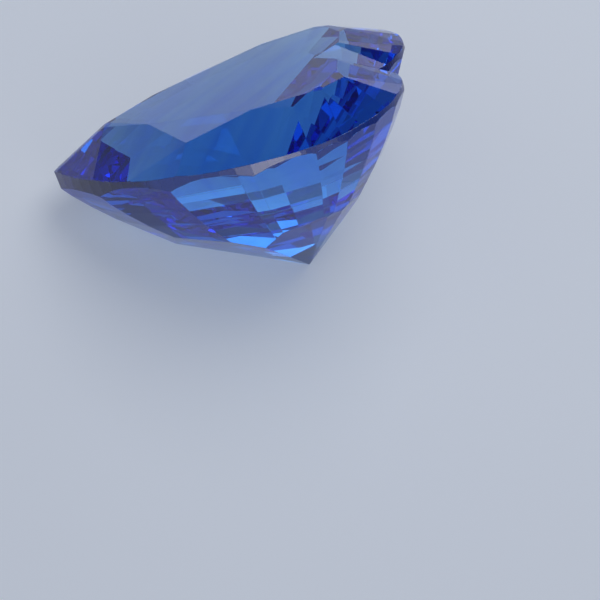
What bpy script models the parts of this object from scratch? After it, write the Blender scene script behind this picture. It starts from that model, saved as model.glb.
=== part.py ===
"""Heart cut blue sapphire, one solid cut stone, lying on a flat of its pavilion.

The stone is worked out in its own frame first: x across the heart, y from the
point to the lobes, z along the axis from the culet up to the table, with the
origin on the axis at the middle of the girdle. One half is ground to shape, one
plane for each facet, then mirrored, and the whole is turned to lie on a facet.
"""
from math import acos, atan2, cos, pi, radians, sin, sqrt, tan

import bmesh
import bpy
from mathutils import Matrix, Vector

# Heart outline, in metres: tip to lobe tops, and across the widest place
LENGTH = 0.0090
WIDTH = 0.0073
TIP_REACH = 0.57 * LENGTH
SIDE_RADIUS = 0.88 * LENGTH
SHOULDER_RADIUS = 0.27 * LENGTH
LOBE_RADIUS = 0.175 * LENGTH
LOBE_TOP_X = 0.145 * LENGTH
OUTLINE_STEP = radians(3.0)

# Heights along the axis, measured from the middle of the girdle
TABLE_HEIGHT = 0.094 * LENGTH
GIRDLE_HALF = 0.006 * LENGTH
PAVILION_DEPTH = 0.475 * LENGTH

# Crown: the direction each main facet faces, and how steep it is
MAIN_FACETS = ((-90, 25), (-38, 29), (-10, 30), (20, 30), (52, 30), (90, 30), (138, 42))
BREAK_SHARES = (0.22, 0.78)
STAR_SLOPE = radians(17)

# Pavilion steps: share of the way out to the girdle, and depth, where each ends
STEPS = ((1.0, GIRDLE_HALF), (0.9495, 0.056 * LENGTH), (0.881, 0.111 * LENGTH), (0.794, 0.171 * LENGTH),
         (0.668, 0.243 * LENGTH), (0.0, PAVILION_DEPTH))
UPPER_FACES = (-50, -34, -18, -2, 16, 36, 56, 76, 96, 120, 142)
LOWER_FACES = (-38, 2, 26, 54, 86, 130)
UPPER_STEPS = 4

# The girdle is left thicker towards the point, to guard it
POINT_GUARD = 0.030 * LENGTH
GUARD_FROM = -30
GUARD_TO = -50
GUARD_FADE = 3

# The pavilion is ground a little flatter under the lobes than at the sides
LOBE_TRIM = 0.11
TRIM_FROM = 20
TRIM_TO = 86

# The pavilion facet that the stone lies on: its step, and the direction it faces
REST_STEP = 4
REST_FACE = 180 + 38

# Turn about the upright that brings the point to the left and the lobes to the right
SPIN = radians(-81.5)

# Room left around the stone in the rough block, and how close counts as touching
SPARE = 0.1 * LENGTH
TOUCHING = 1e-9
MERGE = 1e-6


def arc(centre, radius, start, end):
    """Points along an arc, from one direction to another, both ends included."""
    count = max(2, round(abs(end - start) / OUTLINE_STEP))
    angles = [start + (end - start) * i / count for i in range(count + 1)]
    return [Vector((centre.x + radius * cos(a), centre.y + radius * sin(a))) for a in angles]


def direction(start, end):
    return atan2(end.y - start.y, end.x - start.x)


def half_outline():
    """The half heart with x above 0: side, shoulder and lobe arcs, each tangent to the next."""
    tip = Vector((0, -TIP_REACH))
    lobe = Vector((LOBE_TOP_X, LENGTH - TIP_REACH - LOBE_RADIUS))
    across = WIDTH / 2 - SHOULDER_RADIUS - LOBE_TOP_X
    drop = sqrt((SHOULDER_RADIUS - LOBE_RADIUS) ** 2 - across ** 2)
    shoulder = lobe + Vector((across, -drop))
    reach = (shoulder - tip).length
    inner = SIDE_RADIUS - SHOULDER_RADIUS
    along = (SIDE_RADIUS ** 2 - inner ** 2 + reach ** 2) / (2 * reach)
    aside = sqrt(SIDE_RADIUS ** 2 - along ** 2)
    way = (shoulder - tip) / reach
    side = tip + way * along + Vector((-way.y, way.x)) * aside
    side_end = direction(side, shoulder)
    shoulder_end = direction(shoulder, lobe)
    cleft = pi - acos(LOBE_TOP_X / LOBE_RADIUS)
    points = arc(side, SIDE_RADIUS, direction(side, tip), side_end)
    points += arc(shoulder, SHOULDER_RADIUS, side_end, shoulder_end)[1:]
    points += arc(lobe, LOBE_RADIUS, shoulder_end, cleft)[1:]
    points[0].x = 0
    points[-1].x = 0
    return points


def flat_way(face):
    """The level direction that a facet faces."""
    return Vector((cos(radians(face)), sin(radians(face)), 0))


def touch(outline, face):
    """The point of the outline that lies farthest out towards that direction."""
    way = flat_way(face)
    return max(outline, key=lambda p: p.x * way.x + p.y * way.y)


def reach_of(outline, face):
    point = touch(outline, face)
    return point.to_3d().dot(flat_way(face))


def meeting(planes):
    """The point where three planes, each a point and a normal, meet."""
    rows = Matrix([normal for _, normal in planes])
    return rows.inverted() @ Vector([point.dot(normal) for point, normal in planes])


def crown_facets(outline):
    """Main facets, then a star and two break facets between each two mains."""
    mains = []
    corners = []
    for face, slope in MAIN_FACETS:
        rise = Vector((0, 0, cos(radians(slope))))
        base = touch(outline, face).to_3d() + Vector((0, 0, GIRDLE_HALF))
        mains.append((base, flat_way(face) * sin(radians(slope)) + rise))
        inset = (TABLE_HEIGHT - GIRDLE_HALF) / tan(radians(slope))
        corners.append(base - flat_way(face) * inset + Vector((0, 0, TABLE_HEIGHT - GIRDLE_HALF)))
    facets = list(mains)
    for i in range(len(mains) - 1):
        edge = corners[i + 1] - corners[i]
        out = Vector((edge.y, -edge.x, 0)).normalized()
        star = (corners[i], out * sin(STAR_SLOPE) + Vector((0, 0, cos(STAR_SLOPE))))
        meet = meeting((mains[i], mains[i + 1], star))
        facets.append(star)
        for share in BREAK_SHARES:
            face = MAIN_FACETS[i][0] + share * (MAIN_FACETS[i + 1][0] - MAIN_FACETS[i][0])
            run = reach_of(outline, face) - meet.dot(flat_way(face))
            slope = atan2(meet.z - GIRDLE_HALF, run)
            facets.append((meet, flat_way(face) * sin(slope) + Vector((0, 0, cos(slope)))))
    return facets


def ramp(value, start, end):
    return min(max((value - start) / (end - start), 0), 1)


def step_edge(edge, face):
    """A step's edge on one side of the stone: deeper towards the point, drawn in under the lobes."""
    share, depth = edge
    drop = POINT_GUARD * ramp(face, GUARD_FROM, GUARD_TO) * (1 - depth / PAVILION_DEPTH) ** GUARD_FADE
    trim = LOBE_TRIM * ramp(face, TRIM_FROM, TRIM_TO) * 4 * share * (1 - share)
    return share - trim, depth + drop


def step_facet(outline, step, face):
    """One facet of a pavilion step: its edges stay level and in proportion all round."""
    (outer, top), (inner, bottom) = (step_edge(edge, face) for edge in STEPS[step:step + 2])
    reach = reach_of(outline, face)
    slope = atan2(bottom - top, (outer - inner) * reach)
    point = flat_way(face) * outer * reach - Vector((0, 0, top))
    return point, flat_way(face) * sin(slope) - Vector((0, 0, cos(slope)))


def pavilion_facets(outline):
    facets = []
    for step in range(len(STEPS) - 1):
        for face in UPPER_FACES if step < UPPER_STEPS else LOWER_FACES:
            facets.append(step_facet(outline, step, face))
    return facets


def grind(mesh, point, normal):
    """Takes off everything beyond the plane and leaves one flat facet there."""
    geometry = mesh.verts[:] + mesh.edges[:] + mesh.faces[:]
    cut = bmesh.ops.bisect_plane(mesh, geom=geometry, dist=TOUCHING, plane_co=point,
                                 plane_no=normal, clear_outer=True)
    rim = [e for e in cut["geom_cut"] if isinstance(e, bmesh.types.BMEdge) and e.is_boundary]
    if rim:
        bmesh.ops.edgeloop_fill(mesh, edges=rim)


def half_stone():
    """A prism of the half outline, ground to every facet, with its inner side left open."""
    outline = half_outline()
    mesh = bmesh.new()
    base = mesh.faces.new([mesh.verts.new((p.x, p.y, -PAVILION_DEPTH - SPARE)) for p in outline])
    grown = bmesh.ops.extrude_face_region(mesh, geom=[base])
    top = [v for v in grown["geom"] if isinstance(v, bmesh.types.BMVert)]
    bmesh.ops.translate(mesh, verts=top, vec=(0, 0, PAVILION_DEPTH + TABLE_HEIGHT + 2 * SPARE))
    bmesh.ops.recalc_face_normals(mesh, faces=mesh.faces)
    table = (Vector((0, 0, TABLE_HEIGHT)), Vector((0, 0, 1)))
    for point, normal in [table] + crown_facets(outline) + pavilion_facets(outline):
        grind(mesh, point, normal)
    bmesh.ops.recalc_face_normals(mesh, faces=mesh.faces)
    inside = [f for f in mesh.faces if all(abs(v.co.x) <= TOUCHING for v in f.verts)]
    bmesh.ops.delete(mesh, geom=inside, context="FACES")
    return mesh


def resting_place(mesh):
    """Lays the stone flat on its resting facet, with the middle of its footprint at the origin."""
    _, normal = step_facet(half_outline(), REST_STEP, 180 - REST_FACE)
    mirror = Vector((-1, 1, 1))
    tip_over = (normal * mirror).rotation_difference(Vector((0, 0, -1))).to_matrix()
    turn = Matrix.Rotation(SPIN, 3, "Z") @ tip_over
    placed = [turn @ corner for v in mesh.verts for corner in (v.co, v.co * mirror)]
    low = Vector(min(p[axis] for p in placed) for axis in range(3))
    high = Vector(max(p[axis] for p in placed) for axis in range(3))
    middle = (low + high) / 2
    return Matrix.Translation((-middle.x, -middle.y, -low.z)) @ turn.to_4x4()


def sapphire_material():
    material = bpy.data.materials.new("sapphire")
    material.use_nodes = True
    shader = material.node_tree.nodes["Principled BSDF"]
    shader.inputs["Base Color"].default_value = (0.04, 0.13, 0.62, 1)
    shader.inputs["Roughness"].default_value = 0.02
    shader.inputs["Metallic"].default_value = 0
    shader.inputs["IOR"].default_value = 1.77
    shader.inputs["Transmission Weight"].default_value = 0.6
    return material


def main():
    for old in list(bpy.data.objects):
        bpy.data.objects.remove(old, do_unlink=True)
    holder = bpy.data.collections.new("heart_sapphire")
    bpy.context.scene.collection.children.link(holder)
    data = bpy.data.meshes.new("heart_sapphire")
    half = half_stone()
    half.to_mesh(data)
    place = resting_place(half)
    half.free()
    stone = bpy.data.objects.new("heart_sapphire", data)
    holder.objects.link(stone)
    data.materials.append(sapphire_material())
    mirror = stone.modifiers.new("other_half", "MIRROR")
    mirror.merge_threshold = MERGE
    stone.matrix_world = place


if __name__ == "__main__":
    main()
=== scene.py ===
"""Heart cut blue sapphire lying on one facet of its pavilion, on a pale matt floor."""
from math import cos, pi, radians, sin

import bmesh
import bpy
from mathutils import Matrix, Vector


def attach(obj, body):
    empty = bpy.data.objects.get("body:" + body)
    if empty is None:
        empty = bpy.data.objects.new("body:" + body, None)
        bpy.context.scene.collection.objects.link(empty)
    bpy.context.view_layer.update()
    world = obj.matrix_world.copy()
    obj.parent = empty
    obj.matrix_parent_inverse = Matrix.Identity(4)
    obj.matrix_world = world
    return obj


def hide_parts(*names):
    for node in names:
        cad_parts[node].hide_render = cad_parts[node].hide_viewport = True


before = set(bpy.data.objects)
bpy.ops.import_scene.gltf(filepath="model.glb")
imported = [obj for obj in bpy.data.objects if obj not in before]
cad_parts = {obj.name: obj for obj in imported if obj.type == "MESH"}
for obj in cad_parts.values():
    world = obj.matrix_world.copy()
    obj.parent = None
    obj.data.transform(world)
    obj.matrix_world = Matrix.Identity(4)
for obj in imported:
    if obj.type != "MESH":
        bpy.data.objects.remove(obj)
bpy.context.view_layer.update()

# The view: a long lens looking down at the stone from its near side, with the
# heart's point at the left and the lobes at the right, held a little aslant. The
# aim is off the straight look by the given shares of the lens's length.
EYE = Vector((0.000562, -0.043602, 0.060711))
SENSOR_MM = 36.0
LENS_MM = 178.08
LOOK_RIGHT = Vector((0.9867, 0.1301, 0.0978))
LOOK_UP = Vector((-0.1627, 0.7876, 0.5944))
AIM_RIGHT = 48.2 / 2968
AIM_DOWN = 187.9 / 2968
NEAREST = 0.002
FARTHEST = 5.0

eye_data = bpy.data.cameras.new("eye")
eye_data.lens = LENS_MM
eye_data.sensor_width = SENSOR_MM
eye_data.clip_start = NEAREST
eye_data.clip_end = FARTHEST
eye = bpy.data.objects.new("eye", eye_data)
bpy.context.scene.collection.objects.link(eye)
back = LOOK_RIGHT.cross(LOOK_UP).normalized()
ahead = -back + LOOK_RIGHT * AIM_RIGHT - LOOK_UP * AIM_DOWN
swing = (-back).rotation_difference(ahead).to_matrix()
axes = swing @ Matrix((LOOK_RIGHT, LOOK_UP, back)).transposed()
eye.matrix_world = Matrix.Translation(EYE) @ axes.to_4x4()
bpy.context.scene.camera = eye


# The stone: one crystal of blue corundum, sawn and ground to a heart, each
# facet then polished flat on a lap, and the rim between crown and pavilion
# left from the grinding of the outline. Handling wears the edges a little.
MERGE = 2e-7
FLAT_WITHIN = radians(1.5)
EDGE_WEAR = 0.000005
RIM_LEAN = 0.02

stone_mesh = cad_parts["heart_sapphire"].data.copy()
stone_mesh.name = "sapphire"
shape = bmesh.new()
shape.from_mesh(stone_mesh)
bmesh.ops.remove_doubles(shape, verts=shape.verts, dist=MERGE)
bmesh.ops.dissolve_limit(shape, angle_limit=FLAT_WITHIN, verts=shape.verts, edges=shape.edges)
table = max(shape.faces, key=lambda face: face.calc_area())
up_axis = table.normal.copy()
rim = shape.faces.layers.float.new("rim")
worn = shape.faces.layers.float.new("worn")
for face in shape.faces:
    face.smooth = False
    face[rim] = 1.0 if abs(face.normal.dot(up_axis)) < RIM_LEAN else 0.0
corners = [edge for edge in shape.edges if edge.calc_face_angle(0) > FLAT_WITHIN]
softened = bmesh.ops.bevel(shape, geom=corners, offset=EDGE_WEAR, offset_type="OFFSET",
                           segments=1, profile=0.5, affect="EDGES", clamp_overlap=True)
for face in softened["faces"]:
    face[worn] = 1.0
    face.smooth = False
shape.to_mesh(stone_mesh)
shape.free()
stone = bpy.data.objects.new("sapphire", stone_mesh)
bpy.context.scene.collection.objects.link(stone)


def linear(hex_colour):
    """An sRGB hex colour as linear red, green, blue and full alpha."""
    parts = [int(hex_colour[i:i + 2], 16) / 255 for i in (0, 2, 4)]
    return [p / 12.92 if p <= 0.04045 else ((p + 0.055) / 1.055) ** 2.4 for p in parts] + [1]


def node(tree, kind, values=None, links=None, **settings):
    """Adds a node, with its settings, its socket values and what is linked into it."""
    made = tree.nodes.new(kind)
    for name, value in settings.items():
        setattr(made, name, value)
    for socket, value in (values or {}).items():
        made.inputs[socket].default_value = value
    for socket, source in (links or {}).items():
        tree.links.new(source, made.inputs[socket])
    return made


# Polished corundum: a glassy, hard surface with a high index, clear inside, with
# the blue of iron and titanium taken up along the way through the crystal. It
# grew in layers, some bluer than others, which show as faint straight bands.
CORUNDUM_IOR = 1.765
BLUE = "00C9F8"
BLUE_PER_METRE = 450.0
CLEAR = "FFFFFF"
ZONE_BLUE = "D6E0FF"
ZONE_ASIDE = Vector((0.5, 1.0, 0.0))
ZONE_MM = 0.8
ZONE_DETAIL = 2.0
ZONE_PALE = 0.42
ZONE_FULL = 0.66
SMEAR_MM = 0.9
SMEAR_DETAIL = 3.0
SMEAR_FROM = 0.5
SMEAR_FULL = 0.75
SMEAR_ROUGHNESS = 0.02
EDGE_ROUGHNESS = 0.06
# The rim is ground, not polished, which its higher roughness gives; its dark blue tint is painted
# shade, so that it shows as a dark line round the stone.
RIM_SHADE_BLUE = "16245C"
RIM_ROUGHNESS = 0.22

polished_corundum = bpy.data.materials.new("polished_corundum")
polished_corundum.use_nodes = True
tree = polished_corundum.node_tree
tree.nodes.clear()
place = node(tree, "ShaderNodeTexCoord")
growth = up_axis.cross(ZONE_ASIDE).normalized() / (ZONE_MM / 1000)
layer = node(tree, "ShaderNodeVectorMath", {1: growth}, {0: place.outputs["Object"]},
             operation="DOT_PRODUCT")
layers = node(tree, "ShaderNodeTexNoise", {"Scale": 1.0, "Detail": ZONE_DETAIL},
              {"W": layer.outputs["Value"]}, noise_dimensions="1D")
bluer = node(tree, "ShaderNodeMapRange", {"From Min": ZONE_PALE, "From Max": ZONE_FULL},
             {"Value": layers.outputs["Fac"]})
zone_tint = node(tree, "ShaderNodeMix", {6: linear(CLEAR), 7: linear(ZONE_BLUE)},
                 {"Factor": bluer.outputs["Result"]}, data_type="RGBA")
rim_part = node(tree, "ShaderNodeAttribute", attribute_name="rim")
# Painted shade: the rim's faces are tinted dark navy in the surface colour, standing in for the little
# light the rim sends back.
rim_shade_tint = node(tree, "ShaderNodeMix", {7: linear(RIM_SHADE_BLUE)},
                {"Factor": rim_part.outputs["Fac"], 6: zone_tint.outputs[2]}, data_type="RGBA")
smears = node(tree, "ShaderNodeTexNoise", {"Scale": 1000 / SMEAR_MM, "Detail": SMEAR_DETAIL},
              {"Vector": place.outputs["Object"]})
smeared = node(tree, "ShaderNodeMapRange",
               {"From Min": SMEAR_FROM, "From Max": SMEAR_FULL, "To Max": SMEAR_ROUGHNESS},
               {"Value": smears.outputs["Fac"]})
worn_part = node(tree, "ShaderNodeAttribute", attribute_name="worn")
with_edges = node(tree, "ShaderNodeMath", {1: EDGE_ROUGHNESS},
                  {0: worn_part.outputs["Fac"], 2: smeared.outputs["Result"]}, operation="MULTIPLY_ADD")
roughness = node(tree, "ShaderNodeMath", {1: RIM_ROUGHNESS},
                 {0: rim_part.outputs["Fac"], 2: with_edges.outputs[0]}, operation="MULTIPLY_ADD")
surface = node(tree, "ShaderNodeBsdfPrincipled", {"IOR": CORUNDUM_IOR, "Transmission Weight": 1.0},
               {"Base Color": rim_shade_tint.outputs[2], "Roughness": roughness.outputs[0]})
inside = node(tree, "ShaderNodeVolumeAbsorption", {"Color": linear(BLUE), "Density": BLUE_PER_METRE})
node(tree, "ShaderNodeOutputMaterial", None,
     {"Surface": surface.outputs["BSDF"], "Volume": inside.outputs["Volume"]})
stone_mesh.materials.clear()
stone_mesh.materials.append(polished_corundum)
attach(stone, "root")
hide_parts("heart_sapphire")


# The floor: a wide sheet of matt, cool white board, lit a little from below. It
# lies a hair under the stone, since two faces in one plane would render black.
FLOOR_REACH = 0.50
FLOOR_SIDES = 64
FLOOR_DROP = 0.000012
BOARD = "E2E6EC"
BOARD_GLOW = "BAC2D0"
LIT_SHARE = 0.34
BOARD_ROUGHNESS = 0.9
BOARD_SHEEN = 0.1

floor_mesh = bpy.data.meshes.new("floor")
sheet = bmesh.new()
bmesh.ops.create_circle(sheet, cap_ends=True, segments=FLOOR_SIDES, radius=FLOOR_REACH)
bmesh.ops.translate(sheet, verts=sheet.verts, vec=(0, 0, -FLOOR_DROP))
sheet.to_mesh(floor_mesh)
sheet.free()
floor = bpy.data.objects.new("floor", floor_mesh)
bpy.context.scene.collection.objects.link(floor)
matt_board = bpy.data.materials.new("matt_board")
matt_board.use_nodes = True
board = matt_board.node_tree.nodes["Principled BSDF"]
board.inputs["Base Color"].default_value = linear(BOARD)
board.inputs["Emission Color"].default_value = linear(BOARD_GLOW)
board.inputs["Emission Strength"].default_value = LIT_SHARE
board.inputs["Roughness"].default_value = BOARD_ROUGHNESS
board.inputs["Specular IOR Level"].default_value = BOARD_SHEEN
floor_mesh.materials.append(matt_board)


# The light: a pale studio sky all round, dimmer where the room is dark, and four
# soft panels: one high, one long and low behind, and two in front.
SKY = "BAC2D0"
SKY_STRENGTH = 0.52
DIM_SKY = "56607A"
# Each dim side: compass direction, height, and the angles where it is full and ends
DIM_SIDES = ((-104, 4, 8, 22), (140, 32, 16, 32), (100, 36, 16, 30), (0, 40, 20, 44))
STONE_MIDDLE = Vector((0, 0, 0.003))


def towards(azimuth, height):
    """The way to a compass direction in degrees, and a height above the horizon."""
    turn, lift = radians(azimuth), radians(height)
    return Vector((cos(lift) * cos(turn), cos(lift) * sin(turn), sin(lift)))


sky = bpy.data.worlds.new("studio")
bpy.context.scene.world = sky
sky.use_nodes = True
tree = sky.node_tree
tree.nodes.clear()
way = node(tree, "ShaderNodeTexCoord")
glow = node(tree, "ShaderNodeBackground", {"Color": linear(SKY), "Strength": SKY_STRENGTH})
tone = None
for azimuth, height, inner, outer in DIM_SIDES:
    facing = node(tree, "ShaderNodeVectorMath", {1: towards(azimuth, height)},
                  {0: way.outputs["Generated"]}, operation="DOT_PRODUCT")
    dim = node(tree, "ShaderNodeMapRange",
               {"From Min": cos(radians(outer)), "From Max": cos(radians(inner))},
               {"Value": facing.outputs["Value"]}, interpolation_type="SMOOTHSTEP")
    mixed = node(tree, "ShaderNodeMix", {6: linear(SKY), 7: linear(DIM_SKY)},
                 {"Factor": dim.outputs["Result"]}, data_type="RGBA")
    if tone:
        tree.links.new(tone, mixed.inputs[6])
    tone = mixed.outputs[2]
tree.links.new(tone, glow.inputs["Color"])
node(tree, "ShaderNodeOutputWorld", None, {"Surface": glow.outputs["Background"]})


def panel(name, azimuth, height, away_mm, width_mm, tall_mm, brightness):
    """A soft panel facing the stone, seen in its reflections but not in the picture itself."""
    width, tall = width_mm / 1000, tall_mm / 1000
    data = bpy.data.lights.new(name, "AREA")
    data.shape = "RECTANGLE"
    data.size = width
    data.size_y = tall
    data.energy = brightness * pi * width * tall
    lit = bpy.data.objects.new(name, data)
    bpy.context.scene.collection.objects.link(lit)
    out = towards(azimuth, height)
    lit.location = STONE_MIDDLE + out * away_mm / 1000
    lit.rotation_euler = out.to_track_quat("Z", "Y").to_euler()
    lit.visible_camera = False


panel("soft_above", 62, 68, 50, 40, 40, 1.55)
panel("soft_behind", 108, 8, 60, 60, 16, 0.62)
panel("soft_front", -66, 26, 60, 30, 20, 0.60)
panel("soft_front_low", -97, 5, 60, 22, 14, 3.5)

# The picture: plain colours, and bounces enough for light to get out of the stone.
STONE_BOUNCES = 32
FLOOR_BOUNCES = 4

scene = bpy.context.scene
scene.view_settings.view_transform = "Standard"
scene.cycles.max_bounces = STONE_BOUNCES
scene.cycles.transmission_bounces = STONE_BOUNCES
scene.cycles.glossy_bounces = STONE_BOUNCES
scene.cycles.diffuse_bounces = FLOOR_BOUNCES
